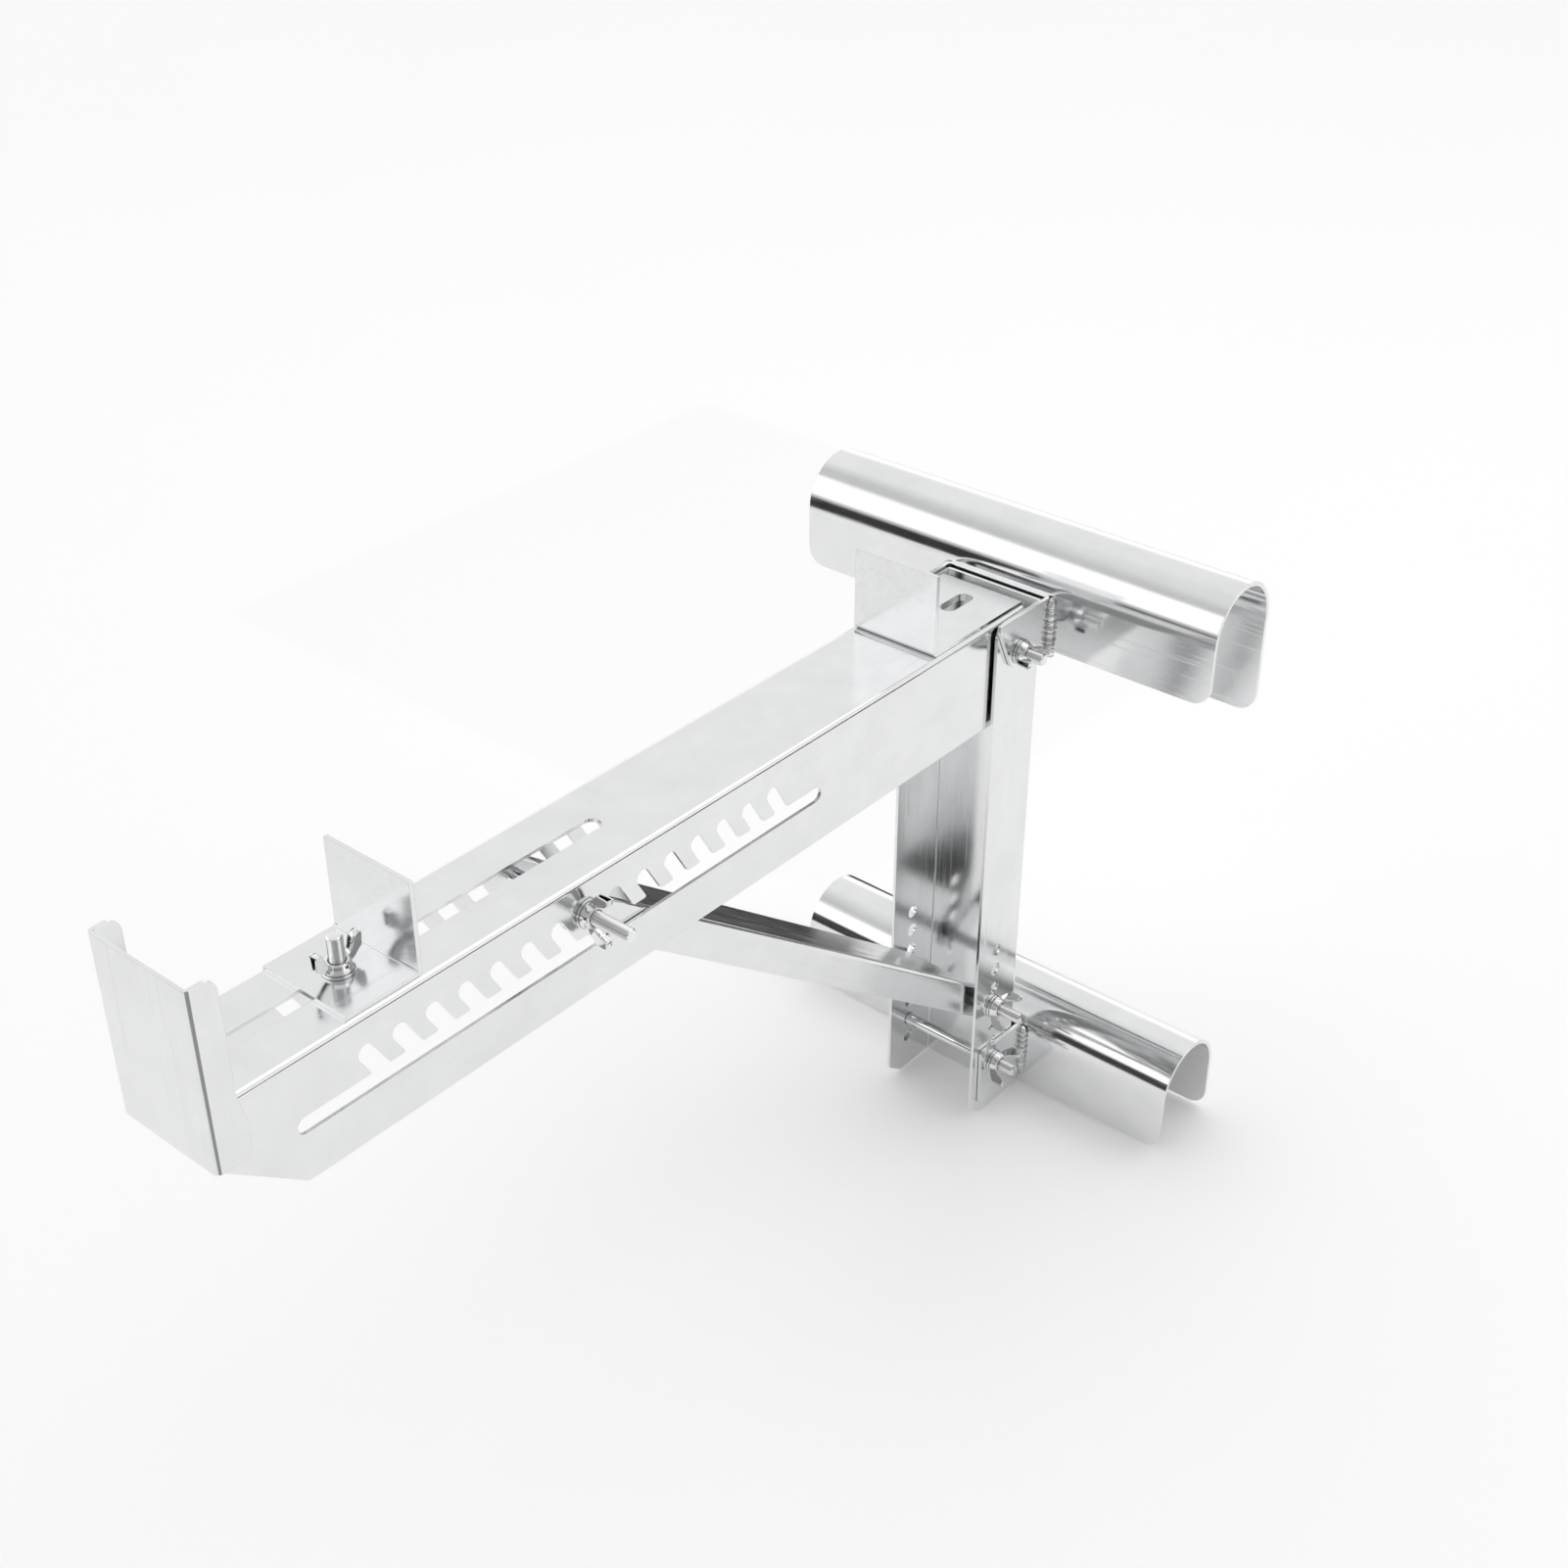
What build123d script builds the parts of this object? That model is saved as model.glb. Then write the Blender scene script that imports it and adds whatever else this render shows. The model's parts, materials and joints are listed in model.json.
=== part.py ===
"""A folding plank bracket that hangs on two ladder rungs, built as separate bent-sheet pieces.

Millimetres. X runs along the rungs, -Y points out along the arm, +Z is up.
The origin is the middle of the upper rung, on its axis. Outlines are drawn about the
pivot bolt, which the arm, the post and the upper hook share, and are moved into place once.
"""
import math
import os

from build123d import *

# ---- driving sizes -------------------------------------------------------------------
SHEET = 2.0                      # channels
PLATE = 2.5                      # hooks, ears, stops and clamp
BEND = 1.0                       # inside bend radius
BOLT_D = 8.0                     # M8
RUN_HOLE_D = 8.1                 # a hole that turns on its bolt
FREE_HOLE_D = 9.0                # a hole that only lets its bolt through

HOOK_L = 299.0
HOOK_R = 30.5                    # outside of the half round that sits on the rung
UPPER_LEG_Y = 30.4               # front face of the upper hook, behind the pivot bolt
RUNG_FROM_PIVOT_Y = UPPER_LEG_Y + HOOK_R
RUNG_FROM_PIVOT_Z = 26.0

# arm
ARM_W = 63.0
ARM_H = 68.5
ARM_TOP = 23.0                   # top face above the pivot bolt
ARM_REAR = 12.0
ARM_FRONT = -582.0
SLOT_H = 9.5
SLOT_MID_Z = -14.75
SLOT_FRONT = -541.0
SLOT_REAR = -179.0
NOTCHES = 15
NOTCH_PITCH = 20.0
NOTCH_FIRST_Y = -500.0
NOTCH_Z = 3.0
NOTCH_W = 9.0
NOTCH_LEAN = 30.0                # degrees from straight down, towards the ladder
NOTCH_RUN = 17.0
NOTCH_USED = 7                   # counted from 0 at the front
TIP_ROUND = 1.0
TOP_SLOT_W = 10.5
TOP_SLOT_FRONT = -562.0
TOP_SLOT_REAR = -318.0
NOSE_CUT = [(-539.0, -45.5), (-582.0, -11.0)]

# post
POST_W = 70.4
POST_FRONT = -20.0
POST_REAR = 26.0
POST_TOP = 23.0
POST_FOOT = -353.5
POST_HOLES = 8
POST_HOLE_PITCH = 15.0
POST_HOLE_FIRST_Z = -222.5
STRUT_HOLE = 3
LOWER_HOOK_HOLE = 6

# strut
STRUT_W = 58.0
STRUT_ABOVE = 9.8                # channel back, above the line between its bolts
STRUT_BELOW = 11.4
STRUT_END_R = 11.0
STRUT_NOSE = 4.0                 # the arm end reaches this much further past its bolt
STRUT_BACK_START = 25.0          # channel back starts this far from the post bolt
STRUT_BACK_STOP = 20.0           # and stops this far short of the arm bolt

# hooks
HOOK_CORNER = 12.0
UPPER_FRONT_DROP = 37.5          # leg ends below the rung axis
UPPER_REAR_DROP = 66.5
LOWER_LEG_Y = 34.0
LOWER_AXIS_Z = -0.5              # lower rung axis above its own bolt
LOWER_DROP = 39.0

# brackets, bent to a U round the post and welded to their hooks
EAR_OUT = POST_W / 2 + 0.3 + PLATE
UPPER_EAR_NOSE_R = 10.5
UPPER_EAR_TOP = 24.4
UPPER_EAR_FRONT = -21.5
UPPER_EAR_RISE = 4.0             # straight stretch at the ear's top front corner
LOWER_EAR = [(-14.0, 14.7), (LOWER_LEG_Y, 12.3), (LOWER_LEG_Y, -35.0), (-13.0, -31.0)]
BEAD_R = 4.4
BEAD_PITCH = 4.4

# stops and clamp
STOP_FACE = ARM_FRONT - SHEET - BEND
STOP_TOP = 87.3
STOP_FOOT = -10.5
STOP_FLANGE_REAR = -569.5
STOP_LOBE_REAR = -566.0
LOBE_TOP = 8.0                   # the flange widens below here, over the arm's side
LOBE_CORNER = 5.0
LEAF_W = 58.0
LEAF_H = 51.7                    # upright leaf above the arm's top face
CLAMP_FACE = -464.0
CLAMP_FRONT = -506.0
CLAMP_BOLT_Y = -486.0
REAR_STOP_FACE = -75.0
REAR_SLOT = (-27.0, -1.0)
REAR_SLOT_W = 10.5

# fasteners
CROSS_BOLT_L = 95.0
CLAMP_BOLT_L = 24.0
HEAD_AF = 13.0
HEAD_H = 5.3
WASHER_D = 16.0
WASHER_T = 1.6
WASHER_HOLE = 8.4
NUT_D = 15.0
NUT_H = 4.8
WING_SPAN = 27.5
WING_TOP = 14.0
WING_T = 5.0
NUT_TURN = {"pivot": 85.0, "strut_arm": -5.0, "strut_post": -45.0, "lower_hook": -57.0}
CLAMP_NUT_TURN = 93.0            # degrees about the bolt, as each nut was left


# ---- shared shapes -------------------------------------------------------------------
def side_face(points, radii=None):
    """A flat outline of (y, z) points in the YZ plane; radii rounds chosen corners."""
    face = Face(Wire.make_polygon([(y, z) for y, z in points]))
    for (y, z), radius in (radii or {}).items():
        corner = [v for v in face.vertices() if abs(v.X - y) < 1e-3 and abs(v.Y - z) < 1e-3]
        face = face.fillet_2d(radius, corner)
    return Plane.YZ * face


def across(face, x_from, x_to):
    """Extrude a YZ outline from one x to another."""
    return extrude(Pos(x_from, 0, 0) * face, amount=x_to - x_from, dir=(1, 0, 0))


def channel_section(width, depth, thickness):
    """A U section with its back at local y = 0 and its legs pointing to local -y."""
    half = width / 2
    points = [
        (-half, -depth), (-half, 0), (half, 0), (half, -depth),
        (half - thickness, -depth), (half - thickness, -thickness),
        (-half + thickness, -thickness), (-half + thickness, -depth),
    ]
    face = Face(Wire.make_polygon(points))
    outer = [v for v in face.vertices() if abs(v.Y) < 1e-3]
    face = face.fillet_2d(BEND + thickness, outer)
    inner = [v for v in face.vertices()
             if abs(v.Y + thickness) < 1e-3 and abs(abs(v.X) - half + thickness) < 1e-3]
    return face.fillet_2d(BEND, inner)


def channel(width, depth, thickness, start, along, length):
    """Sweep a U section from a start point; its back faces the cross product along x X."""
    plane = Plane(origin=start, x_dir=(1, 0, 0), z_dir=along)
    return extrude(plane * channel_section(width, depth, thickness), amount=length, dir=along)


def cross_hole(y, z, diameter, reach=120.0):
    """A round cutter through everything along X."""
    return Pos(0, y, z) * Rot(0, 90, 0) * Cylinder(diameter / 2, 2 * reach)


def bent_leaf(points, corner, width):
    """A strip bent once: six outline points; corner is the outside of the bend."""
    inside = points[3]
    face = side_face(points, {corner: BEND + PLATE, inside: BEND})
    return across(face, -width / 2, width / 2)


# ---- arm and what is fixed to it ---------------------------------------------------------
def notch_centre(index):
    return (NOTCH_FIRST_Y + NOTCH_PITCH * index, NOTCH_Z)


def rack_outline():
    """The long side slot with its row of leaning round-ended notches."""
    lean = math.radians(NOTCH_LEAN)
    outline = Pos((SLOT_FRONT + SLOT_REAR) / 2, SLOT_MID_Z, 0) \
        * SlotOverall(SLOT_REAR - SLOT_FRONT, SLOT_H)
    for index in range(NOTCHES):
        y, z = notch_centre(index)
        far_y = y + NOTCH_RUN * math.sin(lean)
        far_z = z - NOTCH_RUN * math.cos(lean)
        middle = Pos((y + far_y) / 2, (z + far_z) / 2, 0)
        notch = SlotCenterToCenter(NOTCH_RUN, NOTCH_W)
        outline += middle * Rot(0, 0, NOTCH_LEAN - 90) * notch
    face = outline.faces()[0]
    slot_top = SLOT_MID_Z + SLOT_H / 2
    tips = [v for v in face.vertices() if abs(v.Y - slot_top) < 0.05]
    inner_tips = [v for v in tips if NOTCH_FIRST_Y < v.X < SLOT_REAR - 30.0]
    face = face.fillet_2d(TIP_ROUND, inner_tips)
    return Plane.YZ * face


def foot_slot():
    """The short slot through the rear stop's foot and the arm's top under it."""
    length = REAR_SLOT[1] - REAR_SLOT[0]
    outline = Pos(0, sum(REAR_SLOT) / 2, ARM_TOP) * Rot(0, 0, 90) * SlotOverall(length, REAR_SLOT_W)
    return extrude(outline, amount=10, both=True)


def arm_channel():
    body = channel(ARM_W, ARM_H, SHEET, (0, ARM_REAR, ARM_TOP), (0, -1, 0), ARM_REAR - ARM_FRONT)
    foot = ARM_TOP - ARM_H
    nose = side_face([NOSE_CUT[0], NOSE_CUT[1], (ARM_FRONT - 5, NOSE_CUT[1][1]),
                      (ARM_FRONT - 5, foot - 5), (NOSE_CUT[0][0], foot - 5)])
    heel = side_face([(ARM_REAR, foot + 14), (ARM_REAR + 5, foot + 14),
                      (ARM_REAR + 5, foot - 5), (ARM_REAR - 14, foot - 5), (ARM_REAR - 14, foot)])
    body -= across(nose, -ARM_W, ARM_W)
    body -= across(heel, -ARM_W, ARM_W)
    body -= across(rack_outline(), -ARM_W, ARM_W)
    body -= cross_hole(0, 0, RUN_HOLE_D)
    top_slot = Pos(0, (TOP_SLOT_FRONT + TOP_SLOT_REAR) / 2, ARM_TOP) \
        * Rot(0, 0, 90) * SlotOverall(TOP_SLOT_REAR - TOP_SLOT_FRONT, TOP_SLOT_W)
    body -= extrude(top_slot, amount=10, both=True)
    return body - foot_slot()


def front_stop():
    """A U plate standing on the arm's nose, its flanges outside the arm."""
    width = ARM_W + 2 * SHEET
    depth = STOP_LOBE_REAR - STOP_FACE
    height = STOP_TOP - STOP_FOOT
    plane = Plane(origin=(0, STOP_FACE, STOP_FOOT), x_dir=(1, 0, 0), z_dir=(0, 0, 1))
    section = channel_section(width, depth, SHEET)
    body = extrude(plane * mirror(section, about=Plane.XZ), amount=height, dir=(0, 0, 1))
    top = (STOP_FLANGE_REAR, STOP_TOP)
    waist = (STOP_FLANGE_REAR, ARM_TOP + 2)
    lobe_top = (STOP_LOBE_REAR, LOBE_TOP)
    lobe_foot = (STOP_LOBE_REAR, STOP_FOOT + LOBE_CORNER + 1)
    foot = (STOP_FLANGE_REAR, STOP_FOOT)
    outline = side_face(
        [(STOP_FACE, STOP_FOOT), (STOP_FACE, STOP_TOP), top, waist, lobe_top, lobe_foot, foot],
        {top: 7.0, waist: 12.0, lobe_top: 10.0, lobe_foot: LOBE_CORNER, foot: LOBE_CORNER})
    return body & across(outline, -width, width)


def rear_stop():
    """An upright leaf with a long foot running back along the arm."""
    bottom = ARM_TOP
    points = [(REAR_STOP_FACE, bottom), (REAR_STOP_FACE, bottom + LEAF_H),
              (REAR_STOP_FACE + PLATE, bottom + LEAF_H), (REAR_STOP_FACE + PLATE, bottom + PLATE),
              (ARM_REAR, bottom + PLATE), (ARM_REAR, bottom)]
    body = bent_leaf(points, (REAR_STOP_FACE, bottom), LEAF_W)
    return body - foot_slot()


def plank_clamp():
    """A short L that slides along the arm's top slot and pins the plank."""
    bottom = ARM_TOP
    back = CLAMP_FACE + PLATE
    points = [(back, bottom), (back, bottom + LEAF_H), (CLAMP_FACE, bottom + LEAF_H),
              (CLAMP_FACE, bottom + PLATE), (CLAMP_FRONT, bottom + PLATE), (CLAMP_FRONT, bottom)]
    body = bent_leaf(points, (back, bottom), LEAF_W)
    hole = Pos(0, CLAMP_BOLT_Y, bottom) * Cylinder(FREE_HOLE_D / 2, 20)
    return body - hole


# ---- post --------------------------------------------------------------------------------
def post_hole_z(index):
    return POST_HOLE_FIRST_Z - POST_HOLE_PITCH * index


def post_channel():
    depth = POST_REAR - POST_FRONT
    body = channel(POST_W, depth, SHEET, (0, POST_REAR, POST_FOOT), (0, 0, 1), POST_TOP - POST_FOOT)
    outline = side_face(
        [(POST_FRONT, POST_FOOT + 9), (POST_FRONT, POST_TOP), (POST_REAR, POST_TOP),
         (POST_REAR, POST_FOOT), (POST_FRONT + 12, POST_FOOT)],
        {(POST_FRONT, POST_TOP): 9.0, (POST_FRONT, POST_FOOT + 9): 4.0,
         (POST_FRONT + 12, POST_FOOT): 4.0})
    body = body & across(outline, -POST_W, POST_W)
    body -= cross_hole(0, 0, FREE_HOLE_D)
    for index in range(POST_HOLES):
        body -= cross_hole(0, post_hole_z(index), FREE_HOLE_D)
    return body


# ---- strut -------------------------------------------------------------------------------
def strut_line():
    """Length and slope of the line between the strut's two bolts."""
    arm_y, arm_z = notch_centre(NOTCH_USED)
    post_z = post_hole_z(STRUT_HOLE)
    rise = arm_z - post_z
    return math.hypot(arm_y, rise), math.atan2(rise, -arm_y)


def strut():
    length, slope = strut_line()
    full = length + 2 * STRUT_END_R + STRUT_NOSE
    along = (0, -math.cos(slope), math.sin(slope))
    up = (0, math.sin(slope), math.cos(slope))
    foot = (0, 0, post_hole_z(STRUT_HOLE))
    start = tuple(f - STRUT_END_R * a + STRUT_ABOVE * u for f, a, u in zip(foot, along, up))
    body = channel(STRUT_W, STRUT_ABOVE + STRUT_BELOW, SHEET, start, along, full)
    side = Plane(origin=foot, x_dir=along, z_dir=(-1, 0, 0))
    mid_v = (STRUT_ABOVE - STRUT_BELOW) / 2
    outline = Pos((length + STRUT_NOSE) / 2, mid_v, 0) * SlotOverall(full, STRUT_ABOVE + STRUT_BELOW)
    body = body & extrude(side * outline, amount=STRUT_W, both=True)
    back = Plane(origin=foot, x_dir=along, z_dir=up)
    past_end = 40.0
    spans = ((-past_end, STRUT_BACK_START), (length - STRUT_BACK_STOP, length + past_end))
    for near_u, far_u in spans:
        opening = Pos((near_u + far_u) / 2, 0, STRUT_ABOVE) \
            * Box(far_u - near_u, STRUT_W - 2 * SHEET - 2 * BEND, 4 * SHEET + 4 * BEND)
        body -= back * opening
    for u in (0.0, length):
        body -= side * (Pos(u, 0, 0) * Cylinder(RUN_HOLE_D / 2, 2 * STRUT_W))
    return body


# ---- hooks -------------------------------------------------------------------------------
def rung_hook(leg_y, axis_z, front_drop, rear_drop):
    """A half round saddle with two legs, about its own pivot at the origin."""
    axis_y = leg_y + HOOK_R
    ring = Circle(HOOK_R) - Circle(HOOK_R - PLATE)
    arch = ring & (Pos(0, HOOK_R, 0) * Rectangle(4 * HOOK_R, 2 * HOOK_R))
    front = Pos(-HOOK_R + PLATE / 2, -front_drop / 2, 0) * Rectangle(PLATE, front_drop)
    rear = Pos(HOOK_R - PLATE / 2, -rear_drop / 2, 0) * Rectangle(PLATE, rear_drop)
    profile = Plane.YZ * (Pos(axis_y, axis_z, 0) * (arch + front + rear))
    body = extrude(Pos(-HOOK_L / 2, 0, 0) * profile, amount=HOOK_L, dir=(1, 0, 0))
    for y, drop in ((leg_y + PLATE / 2, front_drop), (leg_y + 2 * HOOK_R - PLATE / 2, rear_drop)):
        foot = axis_z - drop
        corners = body.edges().filter_by(Axis.Y).filter_by_position(Axis.Z, foot - 0.1, foot + 0.1)
        near = [e for e in corners if abs(e.center().Y - y) < PLATE]
        body = fillet(near, HOOK_CORNER)
    return body


def bracket(outline, leg_y, foot, top):
    """A U round the back of the post: two ears cut to outline and a plain back."""
    depth = leg_y - UPPER_EAR_FRONT
    body = channel(2 * EAR_OUT, depth, PLATE, (0, leg_y, foot), (0, 0, 1), top - foot)
    body = body & across(outline, -EAR_OUT, EAR_OUT)
    return body - cross_hole(0, 0, RUN_HOLE_D)


def upper_bracket():
    circle = Circle(UPPER_EAR_NOSE_R)
    heel = [(UPPER_LEG_Y, -UPPER_EAR_NOSE_R), (UPPER_LEG_Y, UPPER_EAR_TOP),
            (UPPER_EAR_FRONT, UPPER_EAR_TOP), (UPPER_EAR_FRONT, UPPER_EAR_TOP - UPPER_EAR_RISE)]
    lines = [Line(a, b) for a, b in zip(heel, heel[1:])]
    outline = Plane.YZ * make_hull(circle.edges() + lines)
    return bracket(outline, UPPER_LEG_Y, -UPPER_EAR_NOSE_R, UPPER_EAR_TOP)


def lower_bracket():
    outline = side_face(LOWER_EAR, {LOWER_EAR[0]: 3.0, LOWER_EAR[3]: 4.0})
    return bracket(outline, LOWER_LEG_Y, LOWER_EAR[2][1], LOWER_EAR[0][1])


def weld_run(leg_y, z_from, z_to, side):
    """A row of weld ripples in the corner between an ear and its hook leg."""
    count = int(round((z_to - z_from) / BEAD_PITCH))
    beads = None
    for index in range(count + 1):
        z = z_from + (z_to - z_from) * index / count
        size = BEAD_R * (1.0 + 0.12 * math.sin(2.3 * index))
        bead = Pos(side * EAR_OUT, leg_y, z) * Sphere(size)
        beads = bead if beads is None else beads + bead
    tall = z_to - z_from + 4 * BEAD_R
    corner = Box(3 * BEAD_R, 3 * BEAD_R, tall)
    centre = Pos(side * (EAR_OUT + 1.5 * BEAD_R), leg_y - 1.5 * BEAD_R, (z_from + z_to) / 2)
    return beads & (centre * corner)


# ---- fasteners ---------------------------------------------------------------------------
def hex_bolt(length):
    """Head below z = 0, shank up +Z."""
    head = extrude(RegularPolygon(HEAD_AF / 2, 6, major_radius=False), amount=-HEAD_H)
    trim = Pos(0, 0, -HEAD_H / 2) * Cone(HEAD_AF / 2 - 0.2, HEAD_AF / 2 + 3.2, HEAD_H)
    shank = Pos(0, 0, length / 2) * Cylinder(BOLT_D / 2, length)
    shank = chamfer(shank.edges().group_by(Axis.Z)[-1], 0.8)
    return (head & trim) + shank


def wing_nut():
    """Pressed wing nut: low boss with its seat at z = 0 and two folded wings along X."""
    boss = Pos(0, 0, NUT_H / 2) * Cone(NUT_D / 2, NUT_D / 2 - 0.8, NUT_H)
    tip = WING_SPAN / 2
    points = [(5.0, 0.8), (8.0, 1.4), (11.0, 4.0), (tip, 6.0), (tip, WING_TOP),
              (tip - 3.6, WING_TOP), (7.9, 7.5), (6.6, NUT_H), (5.0, NUT_H)]
    rounds = {points[2]: 3.0, points[3]: 1.2, points[4]: 1.0, points[5]: 2.0, points[6]: 3.0}
    face = Face(Wire.make_polygon(points))
    for point, radius in rounds.items():
        corner = [v for v in face.vertices()
                  if abs(v.X - point[0]) < 1e-3 and abs(v.Y - point[1]) < 1e-3]
        face = face.fillet_2d(radius, corner)
    wing = extrude(Plane.XZ * face, amount=WING_T / 2, both=True)
    nut = boss + wing + Rot(0, 0, 180) * wing
    return nut - Cylinder(RUN_HOLE_D / 2, 60)


def washer():
    """Flat on z = 0."""
    return Pos(0, 0, WASHER_T / 2) * (Cylinder(WASHER_D / 2, WASHER_T) - Cylinder(WASHER_HOLE / 2, 9))


def cross_bolt_set(half_width, y, z, turn):
    """Bolt, washer pair and wing nut clamping a stack of the given half width."""
    seat = half_width + WASHER_T
    along_x = Pos(0, y, z) * Rot(0, 90, 0)
    bolt = along_x * Pos(0, 0, -seat) * hex_bolt(CROSS_BOLT_L)
    pair = [along_x * Pos(0, 0, at) * washer() for at in (-seat, half_width)]
    nut = along_x * Pos(0, 0, seat) * Rot(0, 0, turn) * wing_nut()
    return bolt, Compound(children=pair), nut


# ---- the whole bracket ---------------------------------------------------------------------
def build_nodes():
    arm_y, arm_z = notch_centre(NOTCH_USED)
    low_z = post_hole_z(LOWER_HOOK_HOLE)
    low = Pos(0, 0, low_z)
    nodes = {
        "post_channel": post_channel(),
        "arm_channel": arm_channel(),
        "front_stop": front_stop(),
        "rear_stop": rear_stop(),
        "plank_clamp": plank_clamp(),
        "strut_channel": strut(),
        "upper_rung_hook": rung_hook(UPPER_LEG_Y, RUNG_FROM_PIVOT_Z, UPPER_FRONT_DROP, UPPER_REAR_DROP),
        "upper_bracket": upper_bracket(),
        "upper_weld_left": weld_run(UPPER_LEG_Y, -6.0, 19.0, -1),
        "upper_weld_right": weld_run(UPPER_LEG_Y, -6.0, 19.0, 1),
        "lower_rung_hook": low * rung_hook(LOWER_LEG_Y, LOWER_AXIS_Z, LOWER_DROP, LOWER_DROP),
        "lower_bracket": low * lower_bracket(),
        "lower_weld_left": low * weld_run(LOWER_LEG_Y, -24.0, 4.0, -1),
        "lower_weld_right": low * weld_run(LOWER_LEG_Y, -24.0, 4.0, 1),
        "clamp_bolt": Pos(0, CLAMP_BOLT_Y, ARM_TOP - SHEET) * hex_bolt(CLAMP_BOLT_L),
        "clamp_washer": Pos(0, CLAMP_BOLT_Y, ARM_TOP + PLATE) * washer(),
        "clamp_wing_nut": Pos(0, CLAMP_BOLT_Y, ARM_TOP + PLATE + WASHER_T) * Rot(0, 0, CLAMP_NUT_TURN)
        * wing_nut(),
    }
    joints = {
        "pivot": (EAR_OUT, 0, 0),
        "strut_arm": (ARM_W / 2, arm_y, arm_z),
        "strut_post": (POST_W / 2, 0, post_hole_z(STRUT_HOLE)),
        "lower_hook": (EAR_OUT, 0, low_z),
    }
    for name, (half_width, y, z) in joints.items():
        bolt, pair, nut = cross_bolt_set(half_width, y, z, NUT_TURN[name])
        nodes[f"{name}_bolt"] = bolt
        nodes[f"{name}_washers"] = pair
        nodes[f"{name}_wing_nut"] = nut
    home = Pos(0, -RUNG_FROM_PIVOT_Y, -RUNG_FROM_PIVOT_Z)
    return {name: home * shape for name, shape in nodes.items()}


os.makedirs("parts", exist_ok=True)
for name, shape in build_nodes().items():
    solids = shape.solids()
    exported = solids[0] if len(solids) == 1 else Compound(children=solids)
    export_step(exported, f"parts/{name}.step")
    box = exported.bounding_box()
    print(f"{name:22s} solids {len(solids)}  size {box.size.X:7.1f} {box.size.Y:7.1f} {box.size.Z:7.1f}"
          f"  volume {exported.volume:10.1f}")
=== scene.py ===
"""Looks for the folding plank bracket: bright zinc sheet steel, threaded bolts, wing nuts and welds."""
import json
import math
import random

import bmesh
import bpy
from mathutils import Matrix, Vector

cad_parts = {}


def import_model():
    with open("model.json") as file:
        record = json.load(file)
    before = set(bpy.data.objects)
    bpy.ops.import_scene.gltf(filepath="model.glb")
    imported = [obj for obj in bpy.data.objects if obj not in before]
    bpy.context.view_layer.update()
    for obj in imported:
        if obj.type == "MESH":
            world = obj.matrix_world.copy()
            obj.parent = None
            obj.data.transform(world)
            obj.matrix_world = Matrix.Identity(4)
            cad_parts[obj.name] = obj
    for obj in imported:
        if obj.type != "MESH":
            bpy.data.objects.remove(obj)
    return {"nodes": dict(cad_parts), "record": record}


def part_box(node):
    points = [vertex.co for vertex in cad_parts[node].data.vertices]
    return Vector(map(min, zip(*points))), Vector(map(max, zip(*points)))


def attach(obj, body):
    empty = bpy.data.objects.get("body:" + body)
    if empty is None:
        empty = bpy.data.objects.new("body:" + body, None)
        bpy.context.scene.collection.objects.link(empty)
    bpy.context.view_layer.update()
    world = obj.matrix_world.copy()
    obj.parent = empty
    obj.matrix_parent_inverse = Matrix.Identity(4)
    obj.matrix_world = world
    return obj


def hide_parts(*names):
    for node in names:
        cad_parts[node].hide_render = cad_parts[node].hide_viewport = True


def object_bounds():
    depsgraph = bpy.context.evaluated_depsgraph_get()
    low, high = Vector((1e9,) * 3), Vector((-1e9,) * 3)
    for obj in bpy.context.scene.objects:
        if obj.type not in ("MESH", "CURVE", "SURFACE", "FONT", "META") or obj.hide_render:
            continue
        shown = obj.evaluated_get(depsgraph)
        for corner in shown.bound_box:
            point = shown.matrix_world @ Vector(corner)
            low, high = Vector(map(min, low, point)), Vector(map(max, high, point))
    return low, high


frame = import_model()
cad_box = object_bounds()

MM = 0.001
BOLT_R = 4.0 * MM
SHANK_R = BOLT_R * 0.999
THREAD_PITCH = 1.25 * MM
THREAD_DEPTH = 0.55 * MM
HEAD_AF = 13.0 * MM


# ---- node helpers -------------------------------------------------------------------------
# The colour sockets of Blender's Mix node, which share their names with its other sockets.
MIX_FIRST = 6
MIX_SECOND = 7
MIX_RESULT = 2


def ramp(tree, source, stops):
    """A colour ramp of grey stops [(position, grey), ...]."""
    node = tree.nodes.new("ShaderNodeValToRGB")
    elements = node.color_ramp.elements
    while len(elements) < len(stops):
        elements.new(0.5)
    for element, (position, grey) in zip(elements, stops):
        element.position = position
        element.color = (grey, grey, grey, 1.0)
    tree.links.new(source, node.inputs["Fac"])
    return node.outputs["Color"]


def noise(tree, coords, stretch, scale, detail=4.0, rough=0.55):
    """Noise over object coordinates stretched per axis."""
    mapping = tree.nodes.new("ShaderNodeMapping")
    mapping.inputs["Scale"].default_value = stretch
    tree.links.new(coords, mapping.inputs["Vector"])
    node = tree.nodes.new("ShaderNodeTexNoise")
    node.inputs["Scale"].default_value = scale
    node.inputs["Detail"].default_value = detail
    node.inputs["Roughness"].default_value = rough
    tree.links.new(mapping.outputs["Vector"], node.inputs["Vector"])
    return node.outputs["Fac"]


def feed(tree, value, socket):
    """Link value into a socket if it is a socket itself, or set the socket to it."""
    if isinstance(value, bpy.types.NodeSocket):
        tree.links.new(value, socket)
    else:
        socket.default_value = value


def math_node(tree, operation, a, b):
    """Two-input maths on sockets or numbers."""
    node = tree.nodes.new("ShaderNodeMath")
    node.operation = operation
    feed(tree, a, node.inputs[0])
    feed(tree, b, node.inputs[1])
    return node.outputs["Value"]


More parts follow.
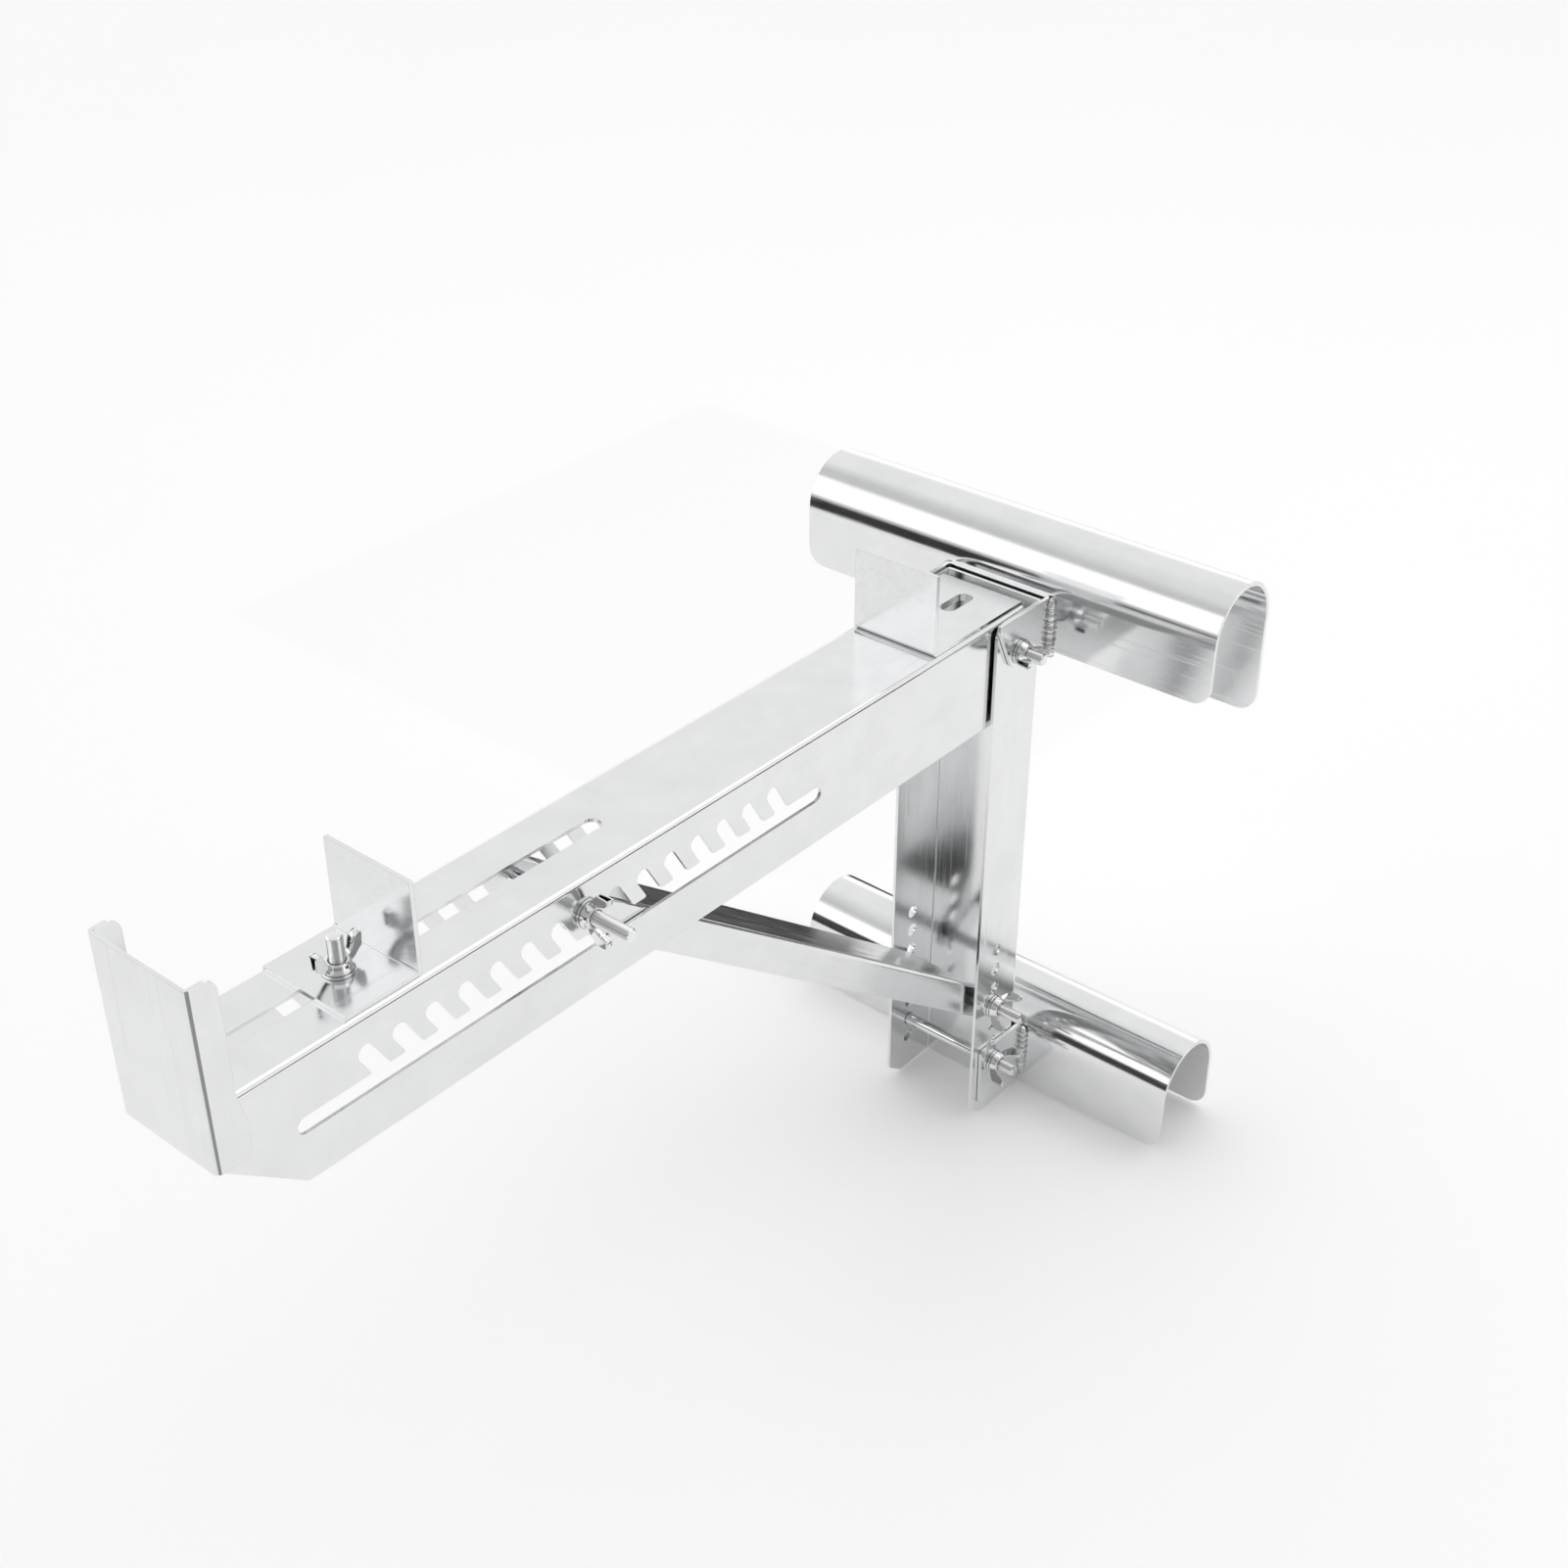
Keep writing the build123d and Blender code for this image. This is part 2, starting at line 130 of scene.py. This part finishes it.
def mix_colour(tree, factor, first, second, kind="MIX"):
    """Blend two colours, each a socket or a fixed RGBA, by a factor."""
    node = tree.nodes.new("ShaderNodeMix")
    node.data_type = "RGBA"
    node.blend_type = kind
    feed(tree, factor, node.inputs["Factor"])
    feed(tree, first, node.inputs[MIX_FIRST])
    feed(tree, second, node.inputs[MIX_SECOND])
    return node.outputs[MIX_RESULT]


SHADE_SAMPLES = 6
CREVICE_REACH = 2.2 * MM


def crevice(tree, colour, depth):
    """Painted shade: darken a colour where surfaces meet within a millimetre or two, where shade falls in
    crevices.
    """
    # Painted shade: ambient occlusion darkens the colour in narrow gaps and hollows.
    shade = tree.nodes.new("ShaderNodeAmbientOcclusion")
    shade.samples = SHADE_SAMPLES
    shade.inputs["Distance"].default_value = CREVICE_REACH
    painted_darkening = ramp(tree, shade.outputs["AO"], [(0.25, 1.0 - depth), (0.80, 1.0)])
    return mix_colour(tree, 1.0, colour, painted_darkening, "MULTIPLY")


# How the grain's noise is stretched: along one axis of the row frame, or not at all.
LONG_X = (0.03, 1.0, 1.0)
LONG_Y = (1.0, 0.03, 1.0)
LONG_Z = (1.0, 1.0, 0.03)
EVEN = (1.0, 1.0, 1.0)
# How fine each pattern of the plate is, in repeats of its noise per metre.
CLOUD_SCALE = 38.0
GRAIN_SCALE = 90.0
SCRATCH_SCALE = 210.0
SPECK_SCALE = 900.0
BUMP_STRENGTH = 0.045
BUMP_HEIGHT = 0.05 * MM


def zinc(name, tint, rough, grain, scratch=1.0, mottling=0.05, edge=0.35 * MM, tilt=0.0, painted_shade=0.0):
    """Bright zinc plate: cloudy tone, fine drawn grain, stray scratches and softened edges.

    tilt turns the grain about X, and the last argument paints shade into narrow crevices such as thread
    roots.
    """
    material = bpy.data.materials.new(name)
    material.use_nodes = True
    tree = material.node_tree
    tree.nodes.clear()
    coords = tree.nodes.new("ShaderNodeTexCoord").outputs["Object"]
    turn = tree.nodes.new("ShaderNodeVectorRotate")
    turn.rotation_type = "X_AXIS"
    turn.inputs["Angle"].default_value = tilt
    tree.links.new(coords, turn.inputs["Vector"])
    coords = turn.outputs["Vector"]
    cloud = noise(tree, coords, EVEN, CLOUD_SCALE, 5.0, 0.6)
    fine = noise(tree, coords, grain, GRAIN_SCALE, 3.0, 0.5)
    specks = noise(tree, coords, EVEN, SPECK_SCALE, 2.0, 0.5)
    lines = noise(tree, coords, tuple(1.7 * g for g in grain), SCRATCH_SCALE, 1.0, 0.4)
    low = tuple(c * (1.0 - mottling) for c in tint)
    patches = ramp(tree, cloud, [(0.35, 0.0), (0.65, 1.0)])
    colour = mix_colour(tree, patches, (*low, 1.0), (*tint, 1.0))
    scratches = ramp(tree, lines, [(0.60, 0.0), (0.64, 1.0), (0.66, 1.0), (0.70, 0.0)])
    rough_mix = math_node(tree, "MULTIPLY", cloud, 0.08)
    rough_mix = math_node(tree, "ADD", rough_mix, rough - 0.06)
    rough_grain = math_node(tree, "MULTIPLY", fine, 0.05)
    rough_mix = math_node(tree, "ADD", rough_mix, rough_grain)
    rough_line = math_node(tree, "MULTIPLY", scratches, 0.08 * scratch)
    rough_mix = math_node(tree, "ADD", rough_mix, rough_line)
    bevel = tree.nodes.new("ShaderNodeBevel")
    bevel.samples = SHADE_SAMPLES
    bevel.inputs["Radius"].default_value = edge
    height = math_node(tree, "MULTIPLY", fine, 0.5)
    height = math_node(tree, "SUBTRACT", height, math_node(tree, "MULTIPLY", scratches, 0.25 * scratch))
    height = math_node(tree, "ADD", height, math_node(tree, "MULTIPLY", specks, 0.25))
    bump = tree.nodes.new("ShaderNodeBump")
    bump.inputs["Strength"].default_value = BUMP_STRENGTH
    bump.inputs["Distance"].default_value = BUMP_HEIGHT
    tree.links.new(height, bump.inputs["Height"])
    tree.links.new(bevel.outputs["Normal"], bump.inputs["Normal"])
    shader = tree.nodes.new("ShaderNodeBsdfPrincipled")
    shader.inputs["Metallic"].default_value = 1.0
    # Painted shade: crevices and thread roots are darkened in the base colour by ambient occlusion.
    if painted_shade:
        colour = crevice(tree, colour, painted_shade)
    tree.links.new(colour, shader.inputs["Base Color"])
    tree.links.new(rough_mix, shader.inputs["Roughness"])
    tree.links.new(bump.outputs["Normal"], shader.inputs["Normal"])
    output = tree.nodes.new("ShaderNodeOutputMaterial")
    tree.links.new(shader.outputs["BSDF"], output.inputs["Surface"])
    return material


SHEET_TINT = (0.83, 0.835, 0.84)
FASTENER_TINT = (0.86, 0.865, 0.87)
WELD_TINT = (0.76, 0.765, 0.77)
SHEET_ROUGH = 0.16
ROLLED_ROUGH = 0.11

STRUT_ENDS = ("strut_arm_bolt", "strut_post_bolt")
strut_high, strut_low = (sum(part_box(bolt), Vector()) / 2 for bolt in STRUT_ENDS)
STRUT_SLOPE = math.atan2(strut_high.z - strut_low.z, strut_low.y - strut_high.y)

sheet_y = zinc("zinc_sheet_lengthwise", SHEET_TINT, SHEET_ROUGH, LONG_Y)
sheet_z = zinc("zinc_sheet_upright", SHEET_TINT, SHEET_ROUGH, LONG_Z)
sheet_strut = zinc("zinc_sheet_strut", SHEET_TINT, SHEET_ROUGH, LONG_Y, tilt=STRUT_SLOPE)
sheet_x = zinc("zinc_sheet_hook", SHEET_TINT, ROLLED_ROUGH, LONG_X)
# Bolts, nuts and welds carry painted shade in their crevices and thread roots.
bolt_zinc = zinc("zinc_bolt", FASTENER_TINT, 0.10, EVEN, 0.3, 0.08, edge=0.12 * MM, painted_shade=0.55)
nut_zinc = zinc("zinc_wing_nut", FASTENER_TINT, 0.11, EVEN, 0.4, 0.10, edge=0.22 * MM, painted_shade=0.55)
weld_zinc = zinc("zinc_weld", WELD_TINT, 0.12, EVEN, 0.0, 0.14, edge=0.1 * MM, painted_shade=0.45)

CARRIED = {
    "arm_channel": sheet_y, "strut_channel": sheet_strut, "rear_stop": sheet_y, "plank_clamp": sheet_y,
    "post_channel": sheet_z, "front_stop": sheet_z, "upper_bracket": sheet_z, "lower_bracket": sheet_z,
    "upper_rung_hook": sheet_x, "lower_rung_hook": sheet_x,
}


def dress(obj, material):
    """Give an object one material."""
    obj.data.materials.clear()
    obj.data.materials.append(material)


for node, material in CARRIED.items():
    dress(frame["nodes"][node], material)


# ---- detailed pieces ----------------------------------------------------------------------
def piece(name, mesh, place, node, material):
    """Put a finished bmesh in the row frame in place of a CAD node."""
    bmesh.ops.transform(mesh, matrix=place, verts=mesh.verts)
    bmesh.ops.recalc_face_normals(mesh, faces=mesh.faces)
    data = bpy.data.meshes.new(name)
    mesh.to_mesh(data)
    mesh.free()
    obj = bpy.data.objects.new(name, data)
    bpy.context.scene.collection.objects.link(obj)
    data.shade_smooth()
    data.set_sharp_from_angle(angle=math.radians(38))
    dress(obj, material)
    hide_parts(node)
    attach(obj, body_of_node(node))


def body_of_node(node):
    """The body that carries a CAD node."""
    for body, members in frame["record"]["behaviour"]["bodies"].items():
        if node in members:
            return body
    raise KeyError(node)


def ring_loft(mesh, rings, closed_ends=True):
    """Faces between rings of equal vertex count."""
    made = [[mesh.verts.new(co) for co in ring] for ring in rings]
    count = len(made[0])
    for lower, upper in zip(made, made[1:]):
        for i in range(count):
            j = (i + 1) % count
            mesh.faces.new((lower[i], lower[j], upper[j], upper[i]))
    if closed_ends:
        mesh.faces.new(list(reversed(made[0])))
        mesh.faces.new(made[-1])
    return made


def circle(radius, z, count):
    """Points round a level circle."""
    step = 2 * math.pi / count
    return [Vector((radius * math.cos(i * step), radius * math.sin(i * step), z)) for i in range(count)]


def threaded_bolt(length, head_h, thread_from):
    """Hex head below z = 0, plain shank, then a real helical thread up to the chamfered end."""
    mesh = bmesh.new()
    flat = HEAD_AF / 2
    corner = flat / math.cos(math.pi / 6)

    def hexagon(limit, z, count=72):
        """The head's outline at height z, cut back to a circle of radius limit at the corners."""
        ring = []
        for i in range(count):
            angle = 2 * math.pi * i / count
            wedge = (angle % (math.pi / 3)) - math.pi / 6
            ring.append((min(flat / math.cos(wedge), limit), angle, z))
        return [Vector((r * math.cos(a), r * math.sin(a), z)) for r, a, z in ring]

    ring_loft(mesh, [
        hexagon(flat * 0.90, -head_h), hexagon(flat * 0.97, -head_h + 0.05 * MM),
        hexagon(corner, -head_h + 1.1 * MM), hexagon(corner, -0.45 * MM),
        hexagon(flat * 0.98, -0.4 * MM), hexagon(flat * 0.98, 0.0)])
    around = 32
    steps_per_turn = 8
    rings = [circle(SHANK_R, 0.0, around), circle(SHANK_R, thread_from, around)]
    total = length - thread_from
    steps = int(total / THREAD_PITCH * steps_per_turn)
    for k in range(1, steps + 1):
        z = thread_from + total * k / steps
        fade = min(1.0, (z - thread_from) / (2 * THREAD_PITCH))
        end_fade = min(1.0, max(0.0, (length - z) / (0.6 * THREAD_PITCH)))
        ring = []
        for i in range(around):
            turn = i / around
            phase = (z / THREAD_PITCH - turn) % 1.0
            tooth = abs(2 * phase - 1)
            depth = THREAD_DEPTH * (1 - tooth) * fade
            radius = (SHANK_R - depth) * (0.86 + 0.14 * end_fade)
            angle = 2 * math.pi * turn
            ring.append(Vector((radius * math.cos(angle), radius * math.sin(angle), z)))
        rings.append(ring)
    ring_loft(mesh, rings)
    return mesh


def smooth_outline(points, rounds=3):
    """Chaikin corner cutting of a closed outline."""
    for _ in range(rounds):
        cut = []
        for a, b in zip(points, points[1:] + points[:1]):
            a, b = Vector(a), Vector(b)
            cut += [a.lerp(b, 0.25), a.lerp(b, 0.75)]
        points = cut
    return points


def revolve(mesh, profile, count):
    """A closed ring from an (r, z) profile."""
    made = ring_loft(mesh, [circle(r, z, count) for r, z in profile], closed_ends=False)
    for i in range(count):
        j = (i + 1) % count
        mesh.faces.new((made[-1][i], made[-1][j], made[0][j], made[0][i]))


NUT_H = 4.8
WING_FLARE = 0.09


def slab(mesh, outline, low_y, high_y, side, rim=0.2, flare=0.0):
    """A plate cut to an outline in millimetres in the XZ plane, with eased rims, mirrored by side.

    flare spreads it sideways by so much for each millimetre of height above the nut's boss.
    """
    centre = sum((Vector(p) for p in outline), Vector((0, 0))) / len(outline)
    rings = []
    for y, ease in ((low_y, rim), (low_y + rim, 0.0), (high_y - rim, 0.0), (high_y, rim)):
        ring = []
        for point in outline:
            away = Vector(point) - centre
            flat = Vector(point) - away.normalized() * ease
            spread = y + flare * max(0.0, flat.y - NUT_H)
            ring.append(Vector((side * flat.x * MM, side * spread * MM, flat.y * MM)))
        rings.append(ring)
    ring_loft(mesh, rings)


def wing_nut():
    """Pressed wing nut: low boss with a rolled foot, wings folded from sheet and open at the tip."""
    mesh = bmesh.new()
    bore = BOLT_R / MM + 0.05
    boss = [(bore + 0.4, 0.0), (7.1, 0.0), (7.5, 0.3), (7.5, 1.1), (7.1, 1.6), (6.5, 2.4),
            (6.3, 4.0), (5.9, 4.6), (5.4, NUT_H), (bore + 0.5, NUT_H), (bore, 4.3), (bore, 0.4)]
    revolve(mesh, [(r * MM, z * MM) for r, z in boss], 48)
    wing = smooth_outline([(5.0, 1.0), (7.8, 1.3), (10.2, 3.0), (12.4, 5.2), (13.7, 5.8), (13.7, 9.0),
                           (13.7, 14.0), (12.0, 14.0), (10.2, 13.6), (8.8, 10.6), (7.7, 7.4),
                           (6.4, 5.0), (5.0, NUT_H)], 2)
    fold = smooth_outline([(5.2, 3.2), (7.4, 5.6), (9.2, 9.4), (10.8, 12.4), (13.0, 12.8), (13.5, 13.4),
                           (13.0, 13.9), (10.2, 13.5), (8.7, 10.6), (7.6, 7.4), (6.4, 5.0), (5.2, 4.6)], 2)
    for side in (1, -1):
        slab(mesh, wing, -1.75, -0.80, side, flare=-WING_FLARE)
        slab(mesh, wing, 0.80, 1.75, side, flare=WING_FLARE)
        slab(mesh, fold, -1.5, 1.5, side, 0.1)
    return mesh


WASHER_T = 1.6 * MM
WASHER_R = 8.0 * MM
WASHER_HOLE_R = 4.2 * MM
WASHER_EASE = 0.25 * MM


def washer():
    """A flat ring with eased edges."""
    mesh = bmesh.new()
    inner, outer, top, ease = WASHER_HOLE_R, WASHER_R, WASHER_T, WASHER_EASE
    revolve(mesh, [(inner, ease), (inner + ease, 0.0), (outer - ease, 0.0), (outer, ease),
                   (outer, top - ease), (outer - ease, top), (inner + ease, top), (inner, top - ease)], 56)
    return mesh


def along_x(x, y, z, turn=0.0):
    """Local +Z of a fastener to row +X, then a turn about the bolt."""
    return (Matrix.Translation((x, y, z)) @ Matrix.Rotation(math.radians(90), 4, "Y")
            @ Matrix.Rotation(math.radians(turn), 4, "Z"))


def merge(first, second, place):
    """Move second to place and add it into first, which uses second up."""
    bmesh.ops.transform(second, matrix=place, verts=second.verts)
    data = bpy.data.meshes.new("scratch")
    second.to_mesh(data)
    second.free()
    first.from_mesh(data)
    bpy.data.meshes.remove(data)
    return first


HEAD_H = 5.3 * MM
HEAD_TURN = 15.0
CROSS_THREAD = 48.0 * MM
CLAMP_SHANK = 3.0 * MM
CLAMP_NUT_TURN = 93.0
NUT_TURN = {"pivot": 85.0, "strut_arm": -5.0, "strut_post": -45.0, "lower_hook": -57.0}
for name, turn in NUT_TURN.items():
    low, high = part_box(name + "_bolt")
    y = (low.y + high.y) / 2
    z = (low.z + high.z) / 2
    seat = low.x + HEAD_H
    length = high.x - seat
    bolt = threaded_bolt(length, HEAD_H, length - CROSS_THREAD)
    piece(name + "_bolt_threaded", bolt, along_x(seat, y, z, HEAD_TURN), name + "_bolt", bolt_zinc)
    low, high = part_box(name + "_washers")
    pair = washer()
    merge(pair, washer(), Matrix.Translation((0, 0, high.x - low.x - WASHER_T)))
    piece(name + "_washers_turned", pair, along_x(low.x, y, z), name + "_washers", bolt_zinc)
    low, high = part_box(name + "_wing_nut")
    piece(name + "_wing_nut_pressed", wing_nut(), along_x(low.x, y, z, turn), name + "_wing_nut", nut_zinc)

low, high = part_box("clamp_bolt")
clamp_x = (low.x + high.x) / 2
clamp_y = (low.y + high.y) / 2
clamp_len = high.z - low.z - HEAD_H
piece("clamp_bolt_threaded", threaded_bolt(clamp_len, HEAD_H, CLAMP_SHANK),
      Matrix.Translation((clamp_x, clamp_y, low.z + HEAD_H)), "clamp_bolt", bolt_zinc)
low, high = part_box("clamp_washer")
piece("clamp_washer_turned", washer(), Matrix.Translation((clamp_x, clamp_y, low.z)), "clamp_washer",
      bolt_zinc)
low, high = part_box("clamp_wing_nut")
piece("clamp_wing_nut_pressed", wing_nut(),
      Matrix.Translation((clamp_x, clamp_y, low.z)) @ Matrix.Rotation(math.radians(CLAMP_NUT_TURN), 4, "Z"),
      "clamp_wing_nut", nut_zinc)


WELD_ROWS = 110
WELD_AROUND = 14
WELD_RIPPLES = 8.5
WELD_ROOT = 0.3 * MM


def weld(node, seed):
    """A run of overlapping weld ripples filling the corner between ear and hook."""
    low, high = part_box(node)
    side = 1 if low.x > 0 else -1
    corner_x = low.x if side > 0 else high.x
    corner_y = high.y
    reach = min(high.x - low.x, high.y - low.y) * 0.97
    rng = random.Random(seed)
    mesh = bmesh.new()
    rings = []
    wobble = [rng.uniform(0.82, 1.0) for _ in range(WELD_ROWS)]
    for k in range(WELD_ROWS + 1):
        t = k / WELD_ROWS
        z = low.z + (high.z - low.z) * t
        ripple = abs(math.sin(math.pi * t * WELD_RIPPLES))
        ends = math.sqrt(max(0.0, 1.0 - (2 * t - 1) ** 14))
        size = reach * (0.80 + 0.20 * ripple) * ends * wobble[min(k, WELD_ROWS - 1)] ** 0.5
        size = max(size, 0.05 * MM)
        ring = [Vector((corner_x - side * WELD_ROOT, corner_y, z))]
        for i in range(WELD_AROUND):
            angle = (math.pi / 2) * i / (WELD_AROUND - 1)
            bulge = size * (0.86 + 0.14 * math.sin(2 * angle))
            ring.append(Vector((corner_x + side * bulge * math.cos(angle),
                                corner_y - bulge * math.sin(angle), z)))
        rings.append(ring)
    ring_loft(mesh, rings)
    piece(node + "_bead", mesh, Matrix.Identity(4), node, weld_zinc)


WELDS = ("upper_weld_left", "upper_weld_right", "lower_weld_left", "lower_weld_right")
for index, node in enumerate(WELDS):
    weld(node, 40 + index)


# ---- studio -------------------------------------------------------------------------------
def plain(name, colour, rough, gloss=0.5, glow=0.0):
    """A painted surface with barely visible clouding, for the studio only."""
    material = bpy.data.materials.new(name)
    material.use_nodes = True
    tree = material.node_tree
    shader = tree.nodes["Principled BSDF"]
    coords = tree.nodes.new("ShaderNodeTexCoord").outputs["Object"]
    shade = noise(tree, coords, EVEN, 1.5, 2.0, 0.5)
    low = tuple(c * 0.985 for c in colour)
    clouded = mix_colour(tree, shade, (*low, 1.0), (*colour, 1.0))
    tree.links.new(clouded, shader.inputs["Base Color"])
    shader.inputs["Roughness"].default_value = rough
    shader.inputs["Specular IOR Level"].default_value = gloss
    shader.inputs["Emission Color"].default_value = (1.0, 1.0, 1.0, 1.0)
    shader.inputs["Emission Strength"].default_value = glow
    return material


FLOOR_HALF = 9.0
FLOOR_Z = cad_box[0].z - 1.0 * MM


def floor():
    """A white light table: its faint glow keeps the shadows as pale as in a product shot."""
    mesh = bmesh.new()
    plan = ((-1, -1), (1, -1), (1, 1), (-1, 1))
    corners = [mesh.verts.new((x * FLOOR_HALF, y * FLOOR_HALF, FLOOR_Z)) for x, y in plan]
    mesh.faces.new(corners)
    data = bpy.data.meshes.new("floor")
    mesh.to_mesh(data)
    mesh.free()
    obj = bpy.data.objects.new("floor", data)
    bpy.context.scene.collection.objects.link(obj)
    dress(obj, plain("pale_floor", (0.93, 0.93, 0.93), 0.8, glow=0.16))


floor()


def softbox(name, where, towards, width, height, watts):
    """A rectangular area light aimed at a point."""
    light = bpy.data.lights.new(name, "AREA")
    light.shape = "RECTANGLE"
    light.size = width
    light.size_y = height
    light.energy = watts
    obj = bpy.data.objects.new(name, light)
    obj.location = where
    obj.rotation_euler = (Vector(towards) - Vector(where)).to_track_quat("-Z", "Y").to_euler()
    bpy.context.scene.collection.objects.link(obj)


def flag(name, corners, grey):
    """A studio flag that shows only in reflections: it gives the bright plate its dark tones.

    The floor reflects one lying close above it too, as a barely darker patch.
    """
    data = bpy.data.meshes.new(name)
    data.from_pydata(corners, [], [(0, 1, 2, 3)])
    obj = bpy.data.objects.new(name, data)
    bpy.context.scene.collection.objects.link(obj)
    dress(obj, plain(name + "_cloth", (grey, grey, grey), 1.0, gloss=0.0))
    obj.visible_camera = False
    obj.visible_diffuse = False
    obj.visible_shadow = False


def standing_flag(name, start, end, top, grey):
    """A flag standing on the floor between two plan points."""
    flag(name, [(*start, FLOOR_Z), (*end, FLOOR_Z), (*end, top), (*start, top)], grey)


def lying_flag(name, x_span, y_span, grey):
    """A flag lying just above the floor."""
    z = FLOOR_Z + 2.0 * MM
    flag(name, [(x_span[0], y_span[0], z), (x_span[1], y_span[0], z),
                (x_span[1], y_span[1], z), (x_span[0], y_span[1], z)], grey)


standing_flag("flag_front_left", (-1.74, -0.40), (0.26, -1.71), 0.03, 0.04)
standing_flag("flag_back_right", (0.15, 1.85), (1.9, -0.1), 0.12, 0.05)
lying_flag("flag_behind_strut", (-0.95, -0.20), (0.06, 0.75), 0.06)
lying_flag("flag_camera_side", (0.30, 1.20), (-1.60, -0.62), 0.35)

CENTRE = (0.0, -0.28, -0.1)
softbox("key_overhead", (0.3, 0.9, 2.2), CENTRE, 1.8, 1.4, 6.0)


# The surround's greys by height: 0 is straight down, 0.5 level and 1 straight up.
BACKDROP = [(0.0, 0.8), (0.50, 0.95), (0.62, 0.95), (0.70, 0.72), (0.92, 0.72), (1.0, 0.60)]
STRIP_BOX = [(0.0, 0.7), (0.50, 0.20), (0.545, 0.45), (0.58, 1.0), (0.83, 1.0), (0.86, 0.50),
             (0.90, 0.50), (0.95, 0.66)]
# The direction to the dim room, and its greys by how nearly the view points that way, up to 1.
PHOTOGRAPHER_SIDE = (0.60, -0.70, 0.38)
DIM_ROOM = [(0.62, 1.0), (0.80, 0.35)]
SURROUND_STRENGTH = 1.3


def world():
    """White surround with a bright strip box in front and a dim room at the photographer's back."""
    scene = bpy.context.scene
    scene.world = bpy.data.worlds.new("studio")
    scene.world.use_nodes = True
    tree = scene.world.node_tree
    background = tree.nodes["Background"]
    direction = tree.nodes.new("ShaderNodeTexCoord").outputs["Generated"]
    split = tree.nodes.new("ShaderNodeSeparateXYZ")
    tree.links.new(direction, split.inputs["Vector"])
    up = math_node(tree, "ADD", math_node(tree, "MULTIPLY", split.outputs["Z"], 0.5), 0.5)
    behind = ramp(tree, up, BACKDROP)
    front = ramp(tree, up, STRIP_BOX)
    side = ramp(tree, math_node(tree, "ADD", split.outputs["Y"], 0.5), [(0.35, 0.0), (0.65, 1.0)])
    greys = mix_colour(tree, side, front, behind)
    facing = tree.nodes.new("ShaderNodeVectorMath")
    facing.operation = "DOT_PRODUCT"
    facing.inputs[1].default_value = PHOTOGRAPHER_SIDE
    tree.links.new(direction, facing.inputs[0])
    dim = ramp(tree, facing.outputs["Value"], DIM_ROOM)
    tree.links.new(mix_colour(tree, 1.0, greys, dim, "MULTIPLY"), background.inputs["Color"])
    background.inputs["Strength"].default_value = SURROUND_STRENGTH


world()

# ---- camera at the photograph's viewing angle -------------------------------------------------
CAMERA_AT = Vector((0.6564, -1.0149, 0.5895))
AZIMUTH = math.radians(40.05)
ELEVATION = math.radians(32.14)
FOCAL_MM = 49.5
SENSOR_MM = 36.0
back = Vector((math.sin(AZIMUTH) * math.cos(ELEVATION), -math.cos(AZIMUTH) * math.cos(ELEVATION),
               math.sin(ELEVATION)))
right = Vector((0, 0, 1)).cross(back).normalized()
up = back.cross(right)
camera_data = bpy.data.cameras.new("camera")
camera_data.lens = FOCAL_MM
camera_data.sensor_width = SENSOR_MM
camera_data.clip_start = 0.01
camera = bpy.data.objects.new("camera", camera_data)
camera.matrix_world = Matrix.Translation(CAMERA_AT) @ Matrix((right, up, back)).transposed().to_4x4()
bpy.context.scene.collection.objects.link(camera)
bpy.context.scene.camera = camera
bpy.context.scene.view_settings.view_transform = "Standard"
